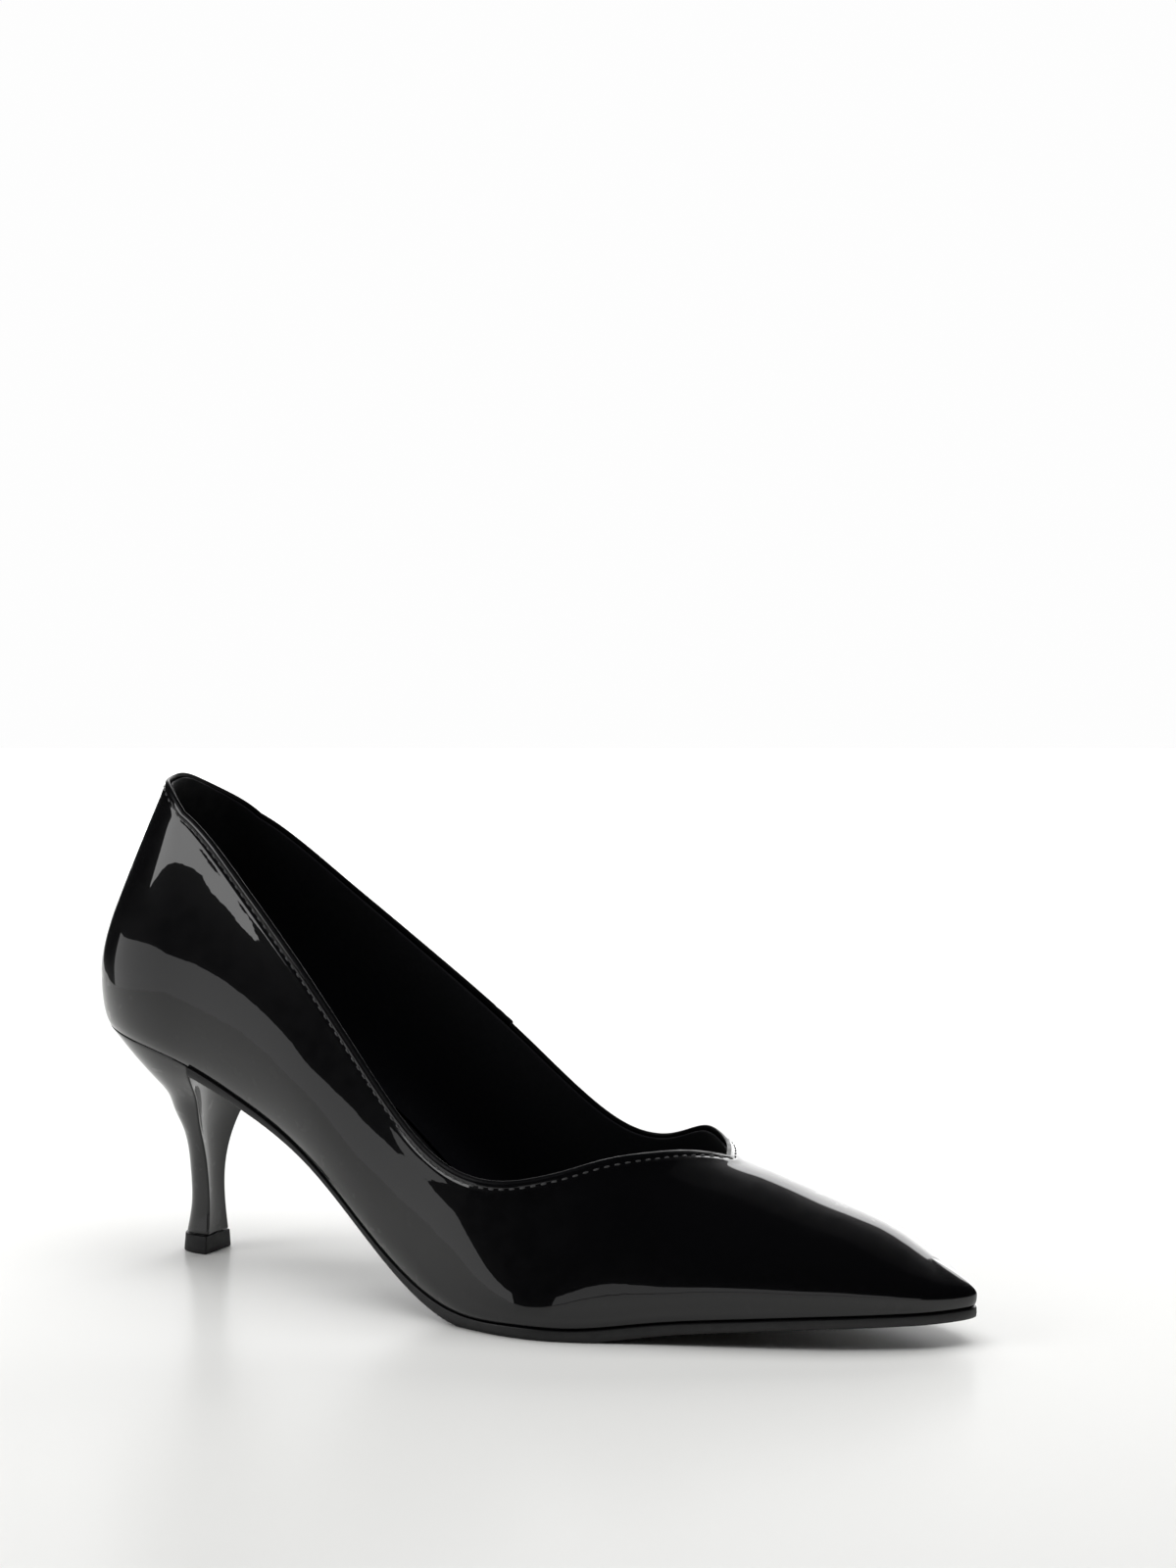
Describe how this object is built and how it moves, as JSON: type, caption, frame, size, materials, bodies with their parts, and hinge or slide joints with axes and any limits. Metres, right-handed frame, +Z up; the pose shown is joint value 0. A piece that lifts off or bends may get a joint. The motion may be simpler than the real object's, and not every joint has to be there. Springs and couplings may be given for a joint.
{
  "type": "kitten heel pump",
  "caption": "Pointed-toe pump with a slim kitten heel, low V-notched throat and thin sole; open at the collar.",
  "frame": {"origin": "centre of the bounding box on the floor", "axes": "+X to the toe, +Y to the inner side of the foot, +Z up"},
  "size_m": [0.246, 0.0786, 0.1268],
  "materials": {
    "upper": "black patent, mirror gloss",
    "outsole": "black, matte tread and satin edge",
    "insole": "black, matte",
    "heel": "black patent covering, gloss",
    "top_piece": "black, matte"
  },
  "bodies": {
    "root": {"upper": "upper", "outsole": "outsole", "insole": "insole", "heel": "heel", "top_piece": "top_piece"}
  },
  "joints": []
}
